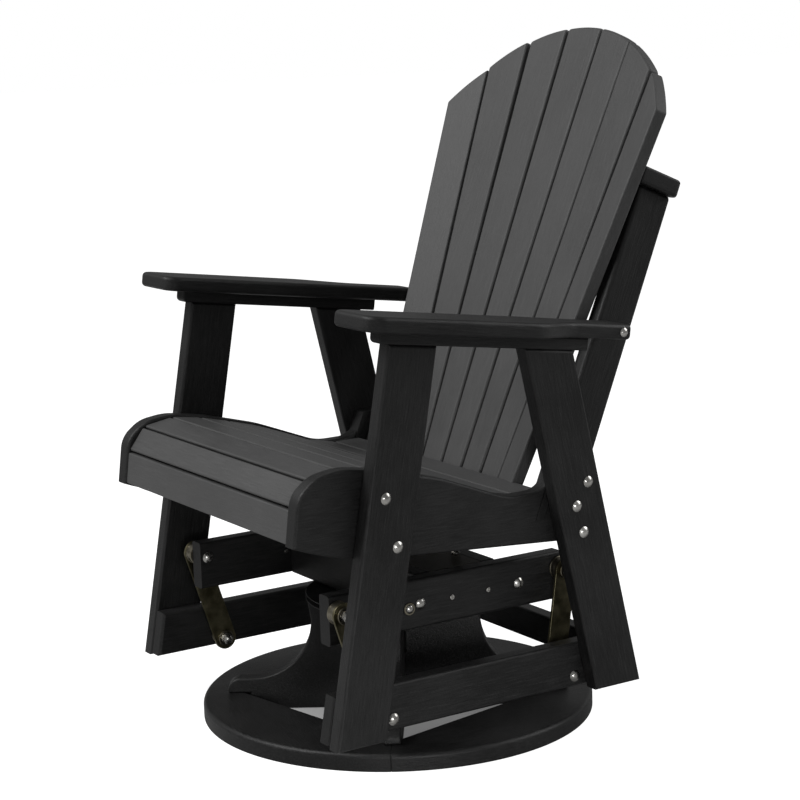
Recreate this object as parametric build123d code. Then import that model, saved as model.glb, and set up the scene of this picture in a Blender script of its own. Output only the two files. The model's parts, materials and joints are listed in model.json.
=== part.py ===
from build123d import *
import math
import os

# Outdoor swivel glider chair made of poly lumber boards.
# The seat hangs on four steel swing arms from a frame that turns on a round base.
# Millimetres, +Z up, the sitter faces -Y, origin on the floor under the turning axis.

# Board stock and rounding
frame_board = 29.0
slat_board = 22.0
head_board = 25.0
armrest_board = 25.0
cleat_board = 20.5
board_round = 5.0
slat_round = 3.0
run_gap = 0.3

# Round base
base_radius = 335.0
base_rim = 66.3
base_turn_degrees = 10.4
base_round = 8.0
foot_height = 26.0
foot_nose_inset = 42.0
foot_nose_round = 22.0
foot_run = 148.0
waist_sweep = 103.0
waist_flare = 6.0
pedestal_height = 197.0

# Ball-race turntable
turntable_height = 11.0
turntable_overhang = 1.5
turntable_ring_width = 52.5
turntable_plate = 2.0
race_inset = 26.5
ball_count = 16

# Turning frame that carries the swing arms
swivel_rail_height = 81.0
swivel_front = 266.0
swivel_back = 184.0
cross_front = 88.0
cross_back = 70.0
deck_bolt_inset = 59.0
deck_bolt_height = 15.0
cross_bolt_drop = 41.0

# Swing arms and their pivots
arm_plate = 5.0
arm_plate_width = 40.0
upper_pivot_z = 262.2
lower_pivot_z = 97.3
front_upper_y = -251.7
front_lower_y = -200.2
rear_upper_y = 177.4
rear_lower_y = 152.5
pivot_bolt_radius = 5.0
pivot_head_radius = 10.0
pivot_head_height = 6.0
hub_radius = 14.0
hub_neck_radius = 9.0
hub_neck_length = 4.0
upper_bearing_length = 17.6
lower_bearing_length = 22.2
running_clearance = 0.08
open_pivot_clearance = 2.3
cap_nut_length = 7.0

# Legs and lower rails of the chair
chair_half_width = 333.5
leg_foot_z = 75.0
front_leg_foot_y = -320.0
front_leg_lean_degrees = 10.5
front_leg_width = 89.5
rear_leg_foot_y = 175.4
rear_leg_lean_degrees = 12.7
rear_leg_width = 92.0
lower_rail_lift = 4.0
lower_rail_height = 75.0
stretcher_height = 51.0
stretcher_y = 205.0

# Armrests and the cleats under them
arm_slope_degrees = 7.87
arm_line_z = 690.9
cleat_front_overhang = 17.0
cleat_back_overhang = 28.0
cleat_nose_round = 8.0
armrest_inset = 65.5
armrest_width = 120.0
armrest_tail_width = 41.0
armrest_front_overhang = 69.0
armrest_back_y = 243.0
armrest_inner_corner = 26.0
armrest_outer_corner = 90.0
armrest_neck_start_y = 26.0
armrest_neck_length = 112.0
armrest_round = 7.0
armrest_bolt_setback = 12.0

# Curved seat
seat_front_y = -366.0
seat_back_y = 190.0
seat_crest_z = 502.5
seat_low_z = 324.0
seat_slat_gap = 3.5
seat_slat_count = 9
seat_recess = 3.0
apron_height = 56.5
seat_ear_radius = 42.0
seat_slat_setback = 15.0
seat_end_gap = 0.5
upright_shelf_z = 370.0

# Corners of the seat rail's top edge before rounding, as shares of its length and height
seat_top_shares = (
    (0.0185, 0.835), (0.079, 0.980), (0.164, 1.017), (0.2986, 0.950), (0.487, 0.790), (0.709, 0.518),
)
seat_top_radii = (45.0, 60.0, 120.0, 300.0, 300.0, 110.0)
seat_ear_shares = (0.8687, 0.759)
seat_nose_bottom_share = 0.403
seat_bottom_mid_shares = (0.173, 0.233)
seat_bottom_end_shares = (0.378, 0.152)

# Fan back
back_lean_degrees = 22.6
back_foot_y = 124.3
back_foot_z = 412.1
back_slat_pairs = 3
back_slat_pitch = 62.5
back_slat_spread = 0.0432
back_slat_gap = 4.5
back_slat_tail = 62.0
back_top = 791.0
back_arch_radius = 365.0
bow_at_foot = 7.0
bow_at_head = 14.5
bow_power_share = 2.0

# Uprights, head rail and lower back rail, measured along and across the back
upright_forward = 26.0
upright_taper = 8.0
upright_rear = 39.0
slat_relief = 6.0
head_rail_s = 518.5
head_rail_front = 24.0
head_rail_width = 78.0
head_rail_end = 14.0
head_rail_corner = 14.0
back_rail_height = 48.0

# Fasteners
bolt_radius = 4.0
bolt_head_radius = 9.3
bolt_head_height = 4.5
armrest_bolt_head_radius = 7.5
armrest_bolt_head_height = 4.0
screw_head_radius = 4.5
screw_head_height = 1.5
nut_radius = 7.5
nut_height = 6.0
bore_clearance = 0.25

# Places of the leg bolts, as shares across the leg and up the seat rail
front_leg_bolt_shares = ((0.33, 0.745), (0.70, 0.307))
rear_leg_bolt_shares = ((0.737, 0.578), (0.396, 0.370), (0.43, 0.120))
cross_bolt_share = 1.096
screw_share = 0.405

# Sizes worked out from the ones above
turntable_top_z = pedestal_height + turntable_height
swivel_top_z = turntable_top_z + swivel_rail_height
base_opening = (base_radius - base_rim) * math.sqrt(2)
foot_nose = base_radius - foot_nose_inset
waist_radius = foot_nose - foot_run
pedestal_top_radius = waist_radius + waist_flare
turntable_radius = pedestal_top_radius + turntable_overhang
turntable_bore = turntable_radius - turntable_ring_width
race_radius = turntable_radius - race_inset
leg_inner_x = chair_half_width - frame_board
rail_inner_x = leg_inner_x - frame_board
support_inner_x = rail_inner_x - frame_board
arm_plate_inner = rail_inner_x - run_gap - lower_bearing_length - arm_plate
swivel_half = arm_plate_inner - upper_bearing_length - run_gap
swivel_inner = swivel_half - frame_board
armrest_inner_x = chair_half_width - armrest_inset
lower_rail_z = leg_foot_z + lower_rail_lift
seat_length = seat_back_y - seat_front_y
seat_height = seat_crest_z - seat_low_z
cutter = 2 * base_radius

back_plane = Plane(
    origin=(0, back_foot_y, back_foot_z),
    x_dir=(1, 0, 0),
    z_dir=(0, -math.cos(math.radians(back_lean_degrees)), math.sin(math.radians(back_lean_degrees))),
)

nodes = {}


def slope(degrees):
    return math.tan(math.radians(degrees))


def leaning_edge(foot_y, lean, z):
    """Depth of a leaning leg edge at a height."""
    return foot_y + slope(lean) * (z - leg_foot_z)


def arm_line(y):
    """Height of the line on which the cleats and armrests lie, over the legs."""
    front_y = leaning_edge(front_leg_foot_y, front_leg_lean_degrees, arm_line_z)
    return arm_line_z - slope(arm_slope_degrees) * (y - front_y)


def leg_top(foot_y, lean):
    """Point where a leaning leg edge meets the arm line."""
    front_y = leaning_edge(front_leg_foot_y, front_leg_lean_degrees, arm_line_z)
    rise = slope(arm_slope_degrees)
    tilt = slope(lean)
    y = (foot_y + tilt * (arm_line_z + rise * front_y - leg_foot_z)) / (1 + tilt * rise)
    return (y, arm_line(y))


def side_face(lines, x):
    """Closed side-view outline, drawn in Y and Z and set at one x."""
    return Plane.YZ.offset(x) * make_face(lines)


def side_board(lines, inner_x, thickness=frame_board):
    return extrude(side_face(lines, inner_x), thickness)


def rounded_board(lines, inner_x, radius=board_round, thickness=frame_board):
    """Side board with the edges of both wide faces rounded over."""
    board = side_board(lines, inner_x, thickness)
    faces = board.faces().sort_by(Axis.X)
    return fillet(faces[0].edges() + faces[-1].edges(), radius)


def block(x0, x1, y0, y1, z0, z1):
    box = Box(x1 - x0, y1 - y0, z1 - z0, align=(Align.MIN, Align.MIN, Align.MIN))
    return Pos(x0, y0, z0) * box


def rounded_block(x0, x1, y0, y1, z0, z1, axis):
    """Board whose four long edges are rounded over."""
    box = block(x0, x1, y0, y1, z0, z1)
    return fillet(box.edges().filter_by(axis), board_round)


def standing(radius, height):
    """Cylinder that stands on the origin."""
    return Cylinder(radius, height, align=(Align.CENTER, Align.CENTER, Align.MIN))


def drilled(board, places, radius):
    """Board with holes along X at side-view places."""
    for y, z in places:
        board = board - Pos(0, y, z) * Rot(0, 90, 0) * standing(radius, cutter)
    return board


def domed_bolt(shank_radius, shank_length, head_radius, head_height):
    """Bolt along Z with its domed head above the origin and its shank below."""
    dome_radius = (head_radius ** 2 + head_height ** 2) / (2 * head_height)
    dome = Pos(0, 0, head_height - dome_radius) * Sphere(dome_radius)
    head = dome & standing(head_radius, head_height)
    return head + Pos(0, 0, -shank_length) * standing(shank_radius, shank_length)


def cap_nut(hole_radius, length, radius, dome_height):
    """Closed nut over a bolt's end, its seat at the origin and its dome above."""
    cap = Pos(0, 0, length) * domed_bolt(radius, length, radius, dome_height)
    return cap - standing(hole_radius, length)


def facing_out(x, y, z, shape):
    """Stand a Z-built fastener at a place so that it looks along +X."""
    return Pos(x, y, z) * Rot(0, 90, 0) * shape


def facing_in(x, y, z, shape):
    return Pos(x, y, z) * Rot(0, -90, 0) * shape


def keep(name, shape):
    nodes[name] = shape


def keep_pair(name, left):
    """Keep a left piece and its mirrored right twin."""
    keep(name + "_left", left)
    keep(name + "_right", mirror(left, about=Plane.YZ))


def group(solids):
    return Compound(children=[item for item in solids])


def with_mirror(solids):
    return solids + [mirror(item, about=Plane.YZ) for item in solids]


def front_leg_places():
    places = []
    for across, up in front_leg_bolt_shares:
        z = seat_low_z + up * seat_height
        y = leaning_edge(front_leg_foot_y, front_leg_lean_degrees, z) + across * front_leg_width
        places.append((y, z))
    return places


def rear_leg_places():
    places = []
    for across, up in rear_leg_bolt_shares:
        z = seat_low_z + up * seat_height
        y = leaning_edge(rear_leg_foot_y, -rear_leg_lean_degrees, z) + across * rear_leg_width
        places.append((y, z))
    return places


def back_point(s, n):
    """Side-view place of a point s along the back and n in front of it."""
    point = back_plane.from_local_coords((0, s, n))
    return (point.Y, point.Z)


def upright_edge(n, z):
    """Depth of an edge parallel to the back, n in front of it, at a height."""
    y, start_z = back_point(0, n)
    return y + slope(back_lean_degrees) * (z - start_z)


def armrest_bolt_place():
    y = armrest_back_y - armrest_bolt_setback
    z = arm_line(y) + (cleat_board + armrest_board / 2) / math.cos(math.radians(arm_slope_degrees))
    return (y, z)


# Base ring of four mitred boards
def base_boards():
    ring = standing(base_radius, frame_board)
    ring = ring - Box(base_opening, base_opening, cutter)
    top_edges = ring.faces().sort_by(Axis.Z)[-1].edges()
    ring = fillet(top_edges, base_round)
    for index in range(4):
        wedge = make_face(Polyline((0, 0), (cutter, -cutter), (cutter, cutter), close=True))
        sector = Rot(0, 0, 90 * index) * extrude(wedge, frame_board)
        keep(f"base_board_{index + 1}", Rot(0, 0, base_turn_degrees) * (ring & sector))


# Pedestal of two halved boards on edge
def pedestal_outline():
    notch = base_radius - base_rim - frame_board / 2
    foot_top = frame_board + foot_height
    nose_low = (foot_nose, foot_top - foot_nose_round)
    nose_high = (foot_nose - foot_nose_round, foot_top)
    sweep_centre_x = waist_radius + waist_sweep
    sweep_centre_z = foot_top + waist_sweep
    turn = waist_sweep * math.sqrt(0.5)
    right = [
        Line((0, 0), (notch, 0)),
        Line((notch, 0), (notch, frame_board)),
        Line((notch, frame_board), (foot_nose, frame_board)),
        Line((foot_nose, frame_board), nose_low),
        RadiusArc(nose_low, nose_high, -foot_nose_round),
        Line(nose_high, (sweep_centre_x, foot_top)),
        ThreePointArc(
            (sweep_centre_x, foot_top),
            (sweep_centre_x - turn, sweep_centre_z - turn),
            (waist_radius, sweep_centre_z),
        ),
        Line((waist_radius, sweep_centre_z), (pedestal_top_radius, pedestal_height)),
        Line((pedestal_top_radius, pedestal_height), (0, pedestal_height)),
        Line((0, pedestal_height), (0, 0)),
    ]
    half = make_face(right)
    return half + mirror(half, about=Plane.YZ)


def pedestal():
    flat = Plane.XZ.offset(-frame_board / 2) * pedestal_outline()
    board = extrude(flat, frame_board)
    slot = Box(frame_board, 2 * frame_board, pedestal_height)
    lower = board - Pos(0, 0, pedestal_height) * slot
    upper = board - slot
    keep("pedestal_board_1", Rot(0, 0, base_turn_degrees + 45) * lower)
    keep("pedestal_board_2", Rot(0, 0, base_turn_degrees + 135) * upper)


# Turntable of two ringed plates on a ball race
def turntable():
    ball_radius = (turntable_height - 2 * turntable_plate) / 2
    ring = standing(turntable_radius, turntable_plate) - Cylinder(turntable_bore, cutter)
    keep("turntable_lower_plate", Pos(0, 0, pedestal_height) * ring)
    keep("turntable_upper_plate", Pos(0, 0, turntable_top_z - turntable_plate) * ring)
    ball = Sphere(ball_radius)
    balls = [loc * ball for loc in PolarLocations(race_radius, ball_count)]
    keep("turntable_balls", Pos(0, 0, pedestal_height + turntable_height / 2) * group(balls))


# Frame that turns on the base
def pivot_bolt(length):
    return domed_bolt(pivot_bolt_radius, length, pivot_head_radius, pivot_head_height)


def pivot_nut():
    radius = pivot_bolt_radius + running_clearance
    return cap_nut(radius, cap_nut_length, pivot_head_radius, pivot_head_height / 2)


def swivel_frame():
    z0 = turntable_top_z
    z1 = swivel_top_z
    bolt_y = cross_front * cross_bolt_share
    screw_y = cross_front * screw_share
    bolt_z = z1 - cross_bolt_drop
    bolts = [(-bolt_y, bolt_z), (bolt_y, bolt_z)]
    screws = [(-screw_y, bolt_z), (screw_y, bolt_z)]
    rail = rounded_block(swivel_inner, swivel_half, -swivel_front, swivel_back, z0, z1, Axis.Y)
    pivots = [(front_upper_y, upper_pivot_z), (rear_upper_y, upper_pivot_z)]
    rail = drilled(rail, pivots, pivot_bolt_radius + bore_clearance)
    rail = drilled(rail, bolts + screws, bolt_radius + bore_clearance)
    keep_pair("swivel_rail", rail)
    deck_front = frame_board - cross_front
    deck_back = cross_back - frame_board
    keep("swivel_front_board", block(-swivel_inner, swivel_inner, -cross_front, deck_front, z0, z1))
    keep("swivel_rear_board", block(-swivel_inner, swivel_inner, deck_back, cross_back, z0, z1))
    bearing = block(-swivel_inner, swivel_inner, deck_front, deck_back, z0, z0 + frame_board)
    deck = block(-swivel_inner, swivel_inner, deck_front, deck_back, z1 - frame_board, z1)
    stud_x = swivel_inner - deck_bolt_inset
    stud_y = deck_back - nut_radius
    for x in (-stud_x, stud_x):
        drill = Pos(x, stud_y, 0) * Cylinder(bolt_radius + bore_clearance, cutter)
        deck = deck - drill
        bearing = bearing - drill
    keep("swivel_deck", deck)
    keep("bearing_board", bearing)

    stud = Pos(0, 0, z0) * standing(bolt_radius, z1 - z0 + deck_bolt_height)
    nut = extrude(RegularPolygon(nut_radius, 6), nut_height)
    nut = Pos(0, 0, z1) * (nut - Cylinder(bolt_radius + running_clearance, cutter))
    fasteners = [Pos(stud_x, stud_y, 0) * stud, Pos(stud_x, stud_y, 0) * nut]
    for y, z in bolts:
        bolt = domed_bolt(bolt_radius, frame_board, bolt_head_radius, bolt_head_height)
        fasteners.append(facing_out(swivel_half, y, z, bolt))
    for y, z in screws:
        screw = domed_bolt(bolt_radius, frame_board, screw_head_radius, screw_head_height)
        fasteners.append(facing_out(swivel_half, y, z, screw))
    keep("swivel_bolts", group(with_mirror(fasteners)))

    nut_x = arm_plate_inner + arm_plate + hub_neck_length + run_gap
    pivot_parts = []
    for y, z in pivots:
        bolt = pivot_bolt(nut_x + cap_nut_length - swivel_inner)
        pivot_parts.append(facing_in(swivel_inner, y, z, bolt))
        pivot_parts.append(facing_out(nut_x, y, z, pivot_nut()))
    keep("upper_pivot_bolts", group(with_mirror(pivot_parts)))


# Steel swing arms with their bearings
def hub(length, radius):
    """Bearing whose broad end is above the origin and whose neck runs below it."""
    neck = arm_plate + hub_neck_length
    body = standing(hub_radius, length) + Pos(0, 0, -neck) * standing(hub_neck_radius, neck)
    return body - Cylinder(radius, cutter)


def swing_arm(name, upper_y, lower_y, lower_bore):
    upper = Vector(upper_y, upper_pivot_z)
    lower = Vector(lower_y, lower_pivot_z)
    span = lower - upper
    middle = (upper + lower) / 2
    bar = SlotCenterToCenter(span.length, arm_plate_width)
    bar = Pos(middle.X, middle.Y) * Rot(0, 0, math.degrees(math.atan2(span.Y, span.X))) * bar
    plate = extrude(Plane.YZ.offset(arm_plate_inner) * bar, arm_plate)
    ends = [(upper_y, upper_pivot_z), (lower_y, lower_pivot_z)]
    plate = drilled(plate, ends, hub_neck_radius + running_clearance)
    keep_pair(name + "_arm", plate)
    upper_hub = hub(upper_bearing_length, pivot_bolt_radius + running_clearance)
    lower_hub = hub(lower_bearing_length, lower_bore)
    bearings = [
        facing_in(arm_plate_inner, upper_y, upper_pivot_z, upper_hub),
        facing_out(arm_plate_inner + arm_plate, lower_y, lower_pivot_z, lower_hub),
    ]
    keep(name + "_bearings", group(with_mirror(bearings)))


def swing_arms():
    running = pivot_bolt_radius + running_clearance
    swing_arm("front", front_upper_y, front_lower_y, running)
    swing_arm("rear", rear_upper_y, rear_lower_y, pivot_bolt_radius + open_pivot_clearance)


# Legs, lower rails and stretcher
def leg(foot_y, lean, width):
    points = [
        (foot_y, leg_foot_z),
        leg_top(foot_y, lean),
        leg_top(foot_y + width, lean),
        (foot_y + width, leg_foot_z),
    ]
    return rounded_board(Polyline(*points, close=True), leg_inner_x)


def legs():
    front = leg(front_leg_foot_y, front_leg_lean_degrees, front_leg_width)
    rear = leg(rear_leg_foot_y, -rear_leg_lean_degrees, rear_leg_width)
    keep_pair("front_leg", drilled(front, front_leg_places(), bolt_radius + bore_clearance))
    keep_pair("rear_leg", drilled(rear, rear_leg_places(), bolt_radius + bore_clearance))


def lower_rails():
    z0 = lower_rail_z
    z1 = lower_rail_z + lower_rail_height
    back_y = rear_leg_foot_y + rear_leg_width
    points = [
        (leaning_edge(front_leg_foot_y, front_leg_lean_degrees, z0), z0),
        (leaning_edge(front_leg_foot_y, front_leg_lean_degrees, z1), z1),
        (leaning_edge(back_y, -rear_leg_lean_degrees, z1), z1),
        (leaning_edge(back_y, -rear_leg_lean_degrees, z0), z0),
    ]
    rail = rounded_board(Polyline(*points, close=True), rail_inner_x)
    pivots = [(front_lower_y, lower_pivot_z), (rear_lower_y, lower_pivot_z)]
    keep_pair("lower_rail", drilled(rail, pivots, pivot_bolt_radius + bore_clearance))
    back = stretcher_y + frame_board
    low = z1 - stretcher_height
    keep("rear_stretcher", rounded_block(-rail_inner_x, rail_inner_x, stretcher_y, back, low, z1, Axis.X))


# Cleats and armrests
def cleat_ends():
    front = leg_top(front_leg_foot_y, front_leg_lean_degrees)[0] - cleat_front_overhang
    back = leg_top(rear_leg_foot_y + rear_leg_width, -rear_leg_lean_degrees)[0] + cleat_back_overhang
    return front, back


def arm_frame(y):
    """Plane of the arm line at a depth, its Y running back along the slope."""
    tilt = math.radians(arm_slope_degrees)
    return Plane(origin=(0, y, arm_line(y)), x_dir=(1, 0, 0), z_dir=(0, math.sin(tilt), math.cos(tilt)))


def cleats():
    front, back = cleat_ends()
    length = (back - front) / math.cos(math.radians(arm_slope_degrees))
    bar = Box(frame_board, length, cleat_board, align=(Align.MIN, Align.MIN, Align.MIN))
    nose = bar.edges().filter_by(Axis.X).sort_by(Axis.Y)[:2].sort_by(Axis.Z)[0]
    bar = fillet(nose, cleat_nose_round)
    keep_pair("arm_cleat", arm_frame(front).location * Pos(leg_inner_x, 0, 0) * bar)


def armrests():
    front = leg_top(front_leg_foot_y, front_leg_lean_degrees)[0] - armrest_front_overhang
    along = 1 / math.cos(math.radians(arm_slope_degrees))
    length = (armrest_back_y - front) * along
    neck_start = (armrest_neck_start_y - front) * along
    neck_end = neck_start + armrest_neck_length
    inner = armrest_inner_x
    outer = armrest_inner_x + armrest_width
    tail_inner = leg_inner_x + run_gap
    tail_outer = leg_inner_x + armrest_tail_width
    inner_neck_start = (inner, neck_start + frame_board)
    inner_neck_end = (tail_inner, neck_end + frame_board)
    outline = [
        Line((inner, neck_start), (inner, 0)),
        Line((inner, 0), (outer, 0)),
        Line((outer, 0), (outer, neck_start)),
        Spline((outer, neck_start), (tail_outer, neck_end), tangents=((0, 1), (0, 1))),
        Line((tail_outer, neck_end), (tail_outer, length)),
        Line((tail_outer, length), (tail_inner, length)),
        Line((tail_inner, length), inner_neck_end),
        Spline(inner_neck_end, inner_neck_start, tangents=((0, -1), (0, -1))),
        Line(inner_neck_start, (inner, neck_start)),
    ]
    face = make_face(outline)
    face = fillet(face.vertices().sort_by(Axis.Y)[:2].sort_by(Axis.X)[0], armrest_inner_corner)
    face = fillet(face.vertices().sort_by(Axis.X)[-2:].sort_by(Axis.Y)[0], armrest_outer_corner)
    board = extrude(face, armrest_board)
    faces = board.faces().sort_by(Axis.Z)
    board = fillet(faces[-1].edges() + faces[0].edges(), armrest_round)
    board = arm_frame(front).location * Pos(0, 0, cleat_board) * board
    keep_pair("armrest", drilled(board, [armrest_bolt_place()], bolt_radius + bore_clearance))


# Seat rails, supports, apron and slats
def seat_place(share_y, share_z):
    return (seat_front_y + share_y * seat_length, seat_low_z + share_z * seat_height)


def seat_corners():
    """Nose of the seat rail and the corners of its top edge."""
    return [seat_place(0, seat_nose_bottom_share)] + [seat_place(*share) for share in seat_top_shares]


def seat_rail_face():
    corners = seat_corners()
    ear_y, ear_z = seat_place(*seat_ear_shares)
    radii = [*seat_top_radii, seat_ear_radius]
    top = FilletPolyline(*corners, (ear_y, corners[-1][1]), (ear_y, ear_z), radius=radii)
    low = seat_place(1, 0)
    bend = seat_place(*seat_bottom_end_shares)
    return make_face([
        *top.edges(),
        Line((ear_y, ear_z), (seat_back_y, ear_z)),
        Line((seat_back_y, ear_z), low),
        Line(low, bend),
        ThreePointArc(bend, seat_place(*seat_bottom_mid_shares), corners[0]),
    ])


def upright_notch():
    """Seat on which the foot of an upright stands, cut through a seat rail."""
    high = seat_crest_z + seat_height
    corners = [
        (upright_edge(upright_forward, upright_shelf_z), upright_shelf_z),
        (upright_edge(upright_forward, high), high),
        (seat_back_y + seat_length, high),
        (seat_back_y + seat_length, upright_shelf_z),
    ]
    return side_board(Polyline(*corners, close=True), rail_inner_x)


def seat_rails():
    board = extrude(Plane.YZ.offset(rail_inner_x) * seat_rail_face(), frame_board)
    faces = board.faces().sort_by(Axis.X)
    rail = fillet(faces[0].edges() + faces[-1].edges(), board_round) - upright_notch()
    places = front_leg_places() + rear_leg_places()[-1:]
    keep_pair("seat_rail", drilled(rail, places, bolt_radius + bore_clearance))


def slat_stations():
    """Points under the rail's top edge where one seat slat ends and the next begins."""
    corners = seat_corners()
    end = (back_foot_y - seat_slat_setback, corners[-1][1])
    path = FilletPolyline(*corners, end, radius=seat_top_radii)
    pitch = (path.length - apron_height) / seat_slat_count
    distances = [0] + [apron_height + pitch * index for index in range(seat_slat_count + 1)]
    stations = []
    for distance in distances:
        point = path.position_at(distance, position_mode=PositionMode.LENGTH)
        tangent = path.tangent_at(distance, position_mode=PositionMode.LENGTH)
        inward = Vector(tangent.Y, -tangent.X)
        stations.append(Vector(point.X, point.Y) + inward * seat_recess)
    return stations


def slat_sections():
    """Side-view corners of the apron and each seat slat, and the line that they rest on."""
    stations = slat_stations()
    runs = [(b - a).normalized() for a, b in zip(stations, stations[1:])]
    inward = [Vector(run.Y, -run.X) for run in runs]
    cuts = [inward[0], inward[0]]
    for before, after in zip(inward[1:], inward[2:]):
        cuts.append((before + after).normalized())
    cuts.append(inward[-1])
    sections = []
    rests = []
    for index, run in enumerate(runs):
        normal = inward[index]
        top = [stations[index] + run * (seat_slat_gap / 2), stations[index + 1] - run * (seat_slat_gap / 2)]
        low = []
        for corner, cut, side in zip(top, cuts[index:index + 2], (1, -1)):
            narrowing = max(0, cut.dot(run) * side)
            low.append(corner + (normal + run * side * narrowing / cut.dot(normal)) * slat_board)
        sections.append([top[0], top[1], low[1], low[0]])
        rests += low
    return sections, rests


def seat_slats():
    sections, rests = slat_sections()
    half = rail_inner_x - seat_end_gap
    for index, corners in enumerate(sections):
        outline = Polyline(*[(corner.X, corner.Y) for corner in corners], close=True)
        slat = side_board(outline, -half, 2 * half)
        upper = [Vector(0, corner.X, corner.Y) for corner in corners[:2]]
        edges = [edge for edge in slat.edges().filter_by(Axis.X)
                 if min((edge @ 0.5 - place).length for place in upper) < run_gap]
        name = f"seat_slat_{index}" if index else "seat_apron"
        keep(name, fillet(edges, slat_round))
    return rests


def seat_supports(rests):
    """Inner boards cut to flats on which the slats are screwed."""
    low_z = seat_low_z - seat_height
    points = [(rest.X, rest.Y) for rest in rests]
    points = points + [(points[-1][0], low_z), (points[0][0], low_z)]
    region = side_board(Polyline(*points, close=True), support_inner_x)
    outline = extrude(Plane.YZ.offset(support_inner_x) * seat_rail_face(), frame_board)
    keep_pair("seat_support", region & outline)


# Fan back
def slat_pitch(s):
    return back_slat_pitch + back_slat_spread * s


def slat_bow(index):
    """Share of the bow that a slat takes, by its place from the middle."""
    return (abs(index) / back_slat_pairs) ** bow_power_share


def place_slat(index, flat):
    """Set a flat slat shape into the bowed back."""
    middle = head_rail_s / 2
    rise = (bow_at_head - bow_at_foot) * slat_bow(index)
    tilt = math.degrees(math.atan(rise / head_rail_s))
    bow = (bow_at_foot + bow_at_head) / 2
    centre_x = index * slat_pitch(middle)
    turn = 0
    if index:
        turn = math.degrees(math.atan(bow_power_share * bow * slat_bow(index) / centre_x))
    turned = Pos(centre_x, 0, 0) * Rot(0, -turn, 0) * Pos(-centre_x, 0, 0) * flat
    lifted = Pos(0, 0, bow_at_foot * slat_bow(index)) * Rot(tilt, 0, 0) * turned
    return back_plane.location * lifted


def slat_outline(index, margin, low, high):
    corners = []
    for s, side in ((low, -1), (low, 1), (high, 1), (high, -1)):
        half = (slat_pitch(s) - back_slat_gap) / 2 + margin
        corners.append((index * slat_pitch(s) + side * half, s))
    return make_face(Polyline(*corners, close=True))


def slat_envelope(index, margin):
    """Space in front of the plane of a slat's rear face."""
    flat = slat_outline(index, margin, -2 * back_slat_tail, back_top)
    return place_slat(index, Pos(0, 0, -slat_board) * extrude(flat, 4 * slat_board))


def arch():
    """Everything under the rounded top of the back."""
    centre_s = back_top - back_arch_radius
    circle = Pos(0, centre_s) * Circle(back_arch_radius)
    below = Pos(0, centre_s - back_top / 2) * Rectangle(2 * back_arch_radius, back_top)
    return circle + below


def back_slats():
    for index in range(back_slat_pairs + 1):
        flat = slat_outline(index, 0, -back_slat_tail, back_top) & arch()
        slat = extrude(flat, slat_board)
        faces = slat.faces().sort_by(Axis.Z)
        slat = fillet(faces[-1].edges() + faces[0].edges(), slat_round)
        slat = place_slat(index, Pos(0, 0, -slat_board) * slat)
        keep(f"back_slat_{back_slat_pairs + 1 + index}", slat)
        if index:
            keep(f"back_slat_{back_slat_pairs + 1 - index}", mirror(slat, about=Plane.YZ))


def seated_on_slats(board, margin):
    for index in range(-back_slat_pairs, back_slat_pairs + 1):
        board = board - slat_envelope(index, margin)
    return board


def along_back(x0, x1, s0, s1, n0, n1):
    return back_plane.location * block(x0, x1, s0, s1, n0, n1)


def uprights():
    low = -2 * back_slat_tail
    outline = Polyline(
        (-upright_rear, low), (upright_forward, low),
        (upright_forward - upright_taper, head_rail_s), (-upright_rear, head_rail_s), close=True,
    )
    flat = Plane(origin=(rail_inner_x, 0, 0), x_dir=(0, 0, 1), z_dir=(1, 0, 0)) * make_face(
        mirror(outline, about=Plane.XZ).edges())
    board = extrude(flat, frame_board)
    board = fillet(board.edges().filter_by(Axis.Y), board_round)
    board = back_plane.location * board
    board = board - block(0, cutter, -cutter, cutter, -cutter, upright_shelf_z)
    board = board - slat_envelope(back_slat_pairs, slat_relief)
    places = rear_leg_places()[:2] + [armrest_bolt_place()]
    keep_pair("upright", drilled(board, places, bolt_radius + bore_clearance))


def head_rail():
    half = leg_inner_x + head_rail_end
    flat = Rectangle(2 * half, head_rail_width)
    flat = fillet(flat.vertices(), head_rail_corner)
    board = extrude(flat, head_board)
    faces = board.faces().sort_by(Axis.Z)
    board = fillet(faces[-1].edges() + faces[0].edges(), board_round)
    centre_n = head_rail_front - head_rail_width / 2
    turned = Pos(0, head_rail_s + head_board, centre_n) * Rot(90, 0, 0) * board
    keep("head_rail", seated_on_slats(back_plane.location * turned, back_slat_gap))


def back_rail():
    bottom = -back_slat_tail
    board = along_back(
        -rail_inner_x, rail_inner_x, bottom, bottom + back_rail_height,
        -slat_board - frame_board, bow_at_foot - slat_board,
    )
    keep("lower_back_rail", seated_on_slats(board, back_slat_gap))


# Bolts through the legs, the armrests and the lower pivots
def chair_bolts():
    leg_bolt = domed_bolt(bolt_radius, 2 * frame_board, bolt_head_radius, bolt_head_height)
    places = front_leg_places() + rear_leg_places()
    fasteners = [facing_out(chair_half_width, y, z, leg_bolt) for y, z in places]
    arm_bolt = domed_bolt(
        bolt_radius, armrest_tail_width + frame_board, armrest_bolt_head_radius, armrest_bolt_head_height)
    fasteners.append(facing_out(leg_inner_x + armrest_tail_width, *armrest_bolt_place(), arm_bolt))
    nut_x = arm_plate_inner - hub_neck_length - run_gap
    for y in (front_lower_y, rear_lower_y):
        bolt = pivot_bolt(leg_inner_x - nut_x + cap_nut_length)
        fasteners.append(facing_out(leg_inner_x, y, lower_pivot_z, bolt))
        fasteners.append(facing_in(nut_x, y, lower_pivot_z, pivot_nut()))
    keep("chair_bolts", group(with_mirror(fasteners)))


base_boards()
pedestal()
turntable()
swivel_frame()
swing_arms()
legs()
lower_rails()
cleats()
armrests()
seat_rails()
seat_supports(seat_slats())
back_slats()
uprights()
head_rail()
back_rail()
chair_bolts()

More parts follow.
